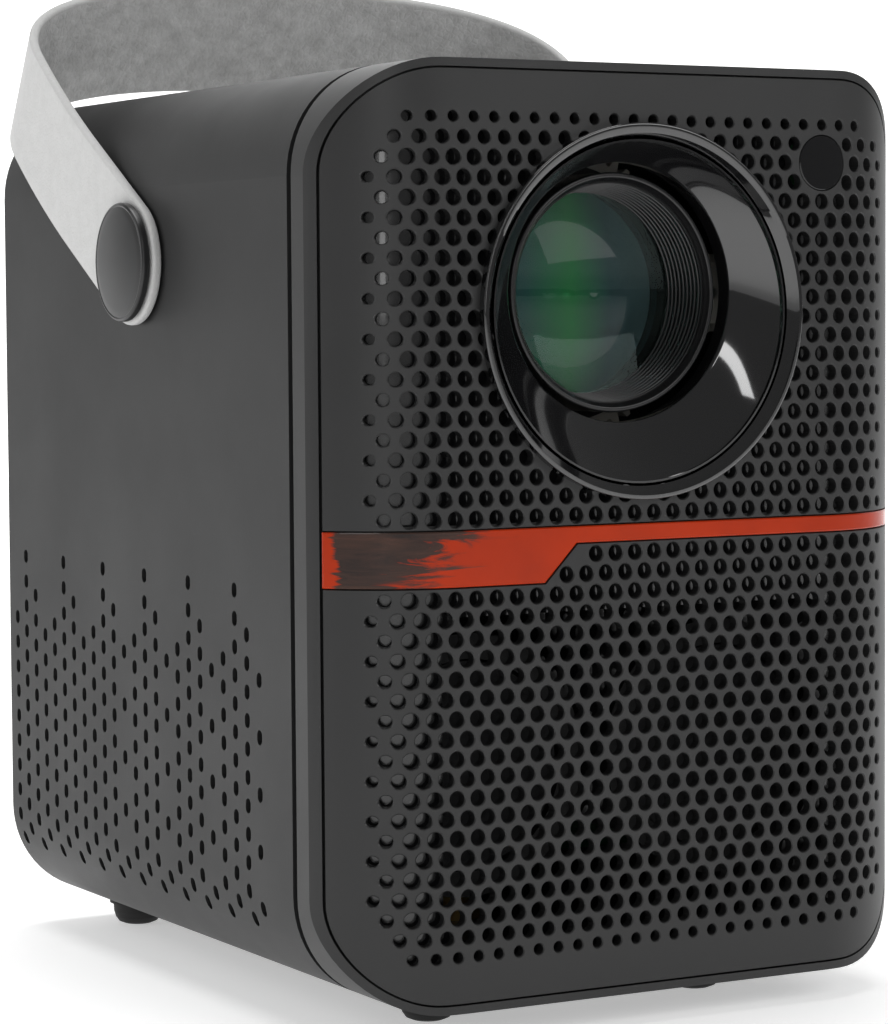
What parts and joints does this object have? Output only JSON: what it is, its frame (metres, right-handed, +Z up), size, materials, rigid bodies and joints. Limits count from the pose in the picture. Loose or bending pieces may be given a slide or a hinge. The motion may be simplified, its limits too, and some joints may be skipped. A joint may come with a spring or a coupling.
{
  "type": "home projector",
  "caption": "Upright portable projector with a perforated curved front, a glossy funnel lens bezel, side vent slots, rubber feet and a swinging strap handle.",
  "frame": {"origin": "floor level, centred across the width and along the depth of the whole assembly with its strap leaning back", "axes": "+Z up, +X to the right seen from the front, front and lens face -Y"},
  "size_m": [0.1442, 0.1758, 0.2146],
  "materials": {
    "casing_plastic": "satin",
    "frame_plastic": "satin",
    "panel_plastic": "satin",
    "backing_gloss": "glossy",
    "accent_gloss": "glossy",
    "sensor_gloss": "glossy",
    "circuit_board": "satin",
    "bezel_gloss": "glossy",
    "inner_plastic": "satin",
    "barrel_black": "glossy",
    "coated_glass": "polished",
    "clear_glass": "polished",
    "lcd_glass": "polished",
    "gear_plastic": "satin",
    "steel": "brushed",
    "led_substrate": "satin",
    "bare_aluminium": "satin",
    "fan_plastic": "satin",
    "cone_paper": "matte",
    "magnet": "matte",
    "black_screw": "satin",
    "key_plastic": "satin",
    "brass_insert": "satin",
    "foot_rubber": "matte",
    "strap_leather": "matte",
    "stud_black": "satin"
  },
  "bodies": {
    "casing": {"housing_sleeve": "casing_plastic", "front_frame": "frame_plastic", "front_panel": "panel_plastic", "grille_backing": "backing_gloss", "accent_strip": "accent_gloss", "sensor_window": "sensor_gloss", "sensor_board": "circuit_board", "lens_bezel": "bezel_gloss", "lens_mount": "inner_plastic", "focus_motor": "steel", "engine_case": "inner_plastic", "front_fresnel": "clear_glass", "lcd_panel": "lcd_glass", "rear_fresnel": "clear_glass", "condenser_lens": "clear_glass", "led_module": "led_substrate", "heat_sink": "bare_aluminium", "exhaust_fan_frame": "fan_plastic", "intake_fan_frame": "fan_plastic", "speaker_frames": "steel", "speaker_cones": "cone_paper", "speaker_magnets": "magnet", "main_board": "circuit_board", "power_board": "circuit_board", "hdmi_port": "steel", "usb_port": "steel", "audio_jack": "inner_plastic", "power_inlet": "inner_plastic", "rear_cover": "frame_plastic", "rear_screws": "black_screw", "key_deck": "bezel_gloss", "key_board": "circuit_board", "tripod_insert": "brass_insert", "foot_front_left": "foot_rubber", "foot_front_right": "foot_rubber", "foot_rear_left": "foot_rubber", "foot_rear_right": "foot_rubber", "strap_stud_left": "stud_black", "strap_stud_right": "stud_black", "strap_nut_left": "steel", "strap_nut_right": "steel"},
    "strap": {"strap": "strap_leather"},
    "focus_ring": {"focus_ring": "gear_plastic"},
    "focus_pinion": {"focus_pinion": "gear_plastic"},
    "lens_group": {"lens_barrel": "barrel_black", "lens_retainer": "barrel_black", "front_lens": "coated_glass", "middle_lens": "clear_glass", "rear_lens": "clear_glass"},
    "exhaust_rotor": {"exhaust_fan_rotor": "fan_plastic"},
    "intake_rotor": {"intake_fan_rotor": "fan_plastic"},
    "source_key": {"source_key": "key_plastic"},
    "minus_key": {"minus_key": "key_plastic"},
    "power_key": {"power_key": "key_plastic"},
    "plus_key": {"plus_key": "key_plastic"},
    "menu_key": {"menu_key": "key_plastic"}
  },
  "joints": [
    {"name": "strap_swing", "type": "hinge", "parent": "casing", "child": "strap", "pos_m": [0, 0.00511, 0.1495], "axis": [1, 0, 0], "range_deg": [0, 108]},
    {"name": "focus_turn", "type": "hinge", "parent": "casing", "child": "focus_ring", "pos_m": [-0.0014, -0.04889, 0.14245], "axis": [0, 1, 0], "range_deg": [-46, 46]},
    {"name": "focus_travel", "type": "slide", "parent": "casing", "child": "lens_group", "axis": [0, -1, 0], "range_m": [-0.0025, 0.0025]},
    {"name": "focus_pinion_turn", "type": "hinge", "parent": "casing", "child": "focus_pinion", "pos_m": [0.03615, -0.04889, 0.14245], "axis": [0, 1, 0], "range_deg": [-184, 184]},
    {"name": "exhaust_fan_spin", "type": "hinge", "parent": "casing", "child": "exhaust_rotor", "pos_m": [-0.0014, 0.06611, 0.14245], "axis": [0, 1, 0], "continuous": true},
    {"name": "intake_fan_spin", "type": "hinge", "parent": "casing", "child": "intake_rotor", "pos_m": [0, 0.00611, 0.09], "axis": [0, 0, 1], "continuous": true},
    {"name": "source_key_press", "type": "slide", "parent": "casing", "child": "source_key", "axis": [0, 0, -1], "range_m": [0, 0.0006], "stiffness_N_per_m": 500, "springref_m": -0.001},
    {"name": "minus_key_press", "type": "slide", "parent": "casing", "child": "minus_key", "axis": [0, 0, -1], "range_m": [0, 0.0006], "stiffness_N_per_m": 500, "springref_m": -0.001},
    {"name": "power_key_press", "type": "slide", "parent": "casing", "child": "power_key", "axis": [0, 0, -1], "range_m": [0, 0.0006], "stiffness_N_per_m": 500, "springref_m": -0.001},
    {"name": "plus_key_press", "type": "slide", "parent": "casing", "child": "plus_key", "axis": [0, 0, -1], "range_m": [0, 0.0006], "stiffness_N_per_m": 500, "springref_m": -0.001},
    {"name": "menu_key_press", "type": "slide", "parent": "casing", "child": "menu_key", "axis": [0, 0, -1], "range_m": [0, 0.0006], "stiffness_N_per_m": 500, "springref_m": -0.001}
  ],
  "couplings": [
    {"joint": "focus_turn", "follows": "focus_travel", "rad_per_m": 314.15},
    {"joint": "focus_pinion_turn", "follows": "focus_travel", "rad_per_m": -1256.6}
  ]
}
